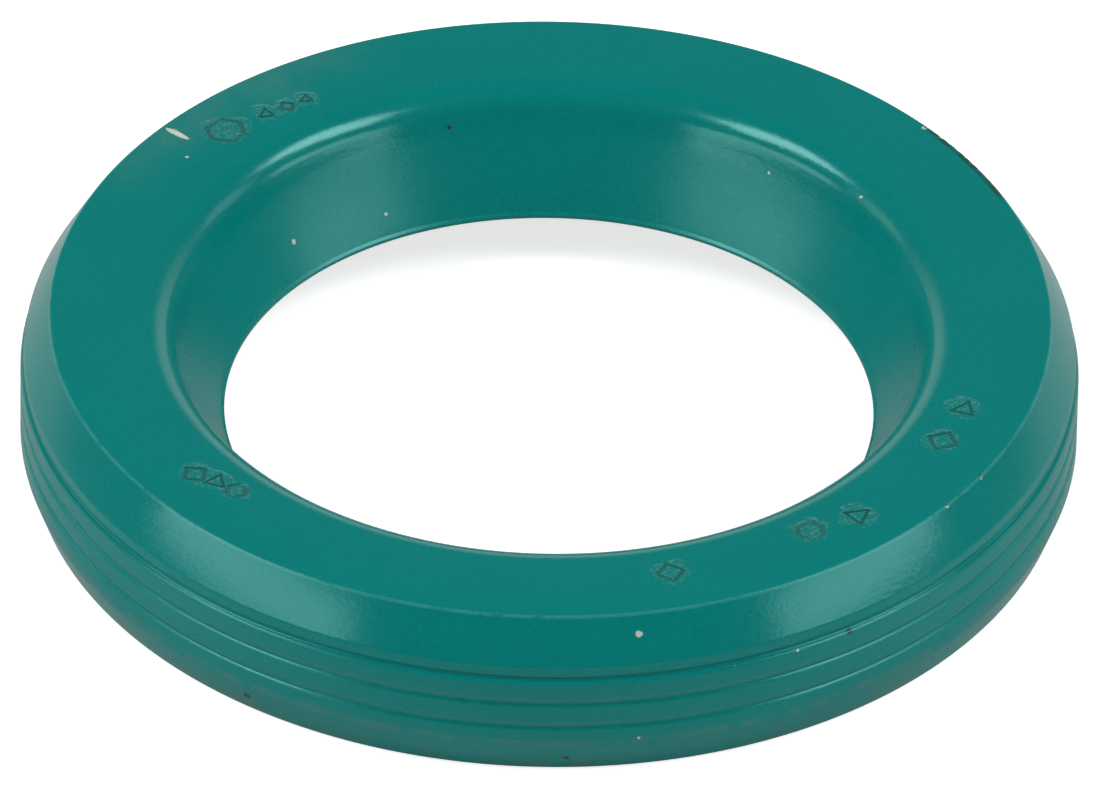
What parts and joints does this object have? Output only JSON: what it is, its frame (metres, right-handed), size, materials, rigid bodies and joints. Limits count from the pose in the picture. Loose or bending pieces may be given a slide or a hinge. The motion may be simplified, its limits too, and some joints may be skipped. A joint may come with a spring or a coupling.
{
  "type": "radial shaft seal",
  "caption": "Rubber-covered rotary lip seal for a shaft, with a ribbed press-fit outside wall, one sealing lip and an embedded steel ring.",
  "frame": {"origin": "on the shaft axis, in the plane of the rim on the lip side, which the seal stands on", "axes": "+Z along the shaft axis, from the lip side to the flat face that the fitting tool presses on; the seal is a body of revolution, so X and Y are free"},
  "size_m": [0.0182, 0.0182, 0.003],
  "materials": {
    "elastomer": "teal green moulded rubber, satin",
    "sheet_steel": "pressed sheet steel, bonded inside the rubber"
  },
  "bodies": {
    "root": {"rubber_body": "elastomer", "stiffening_ring": "sheet_steel"}
  },
  "joints": []
}
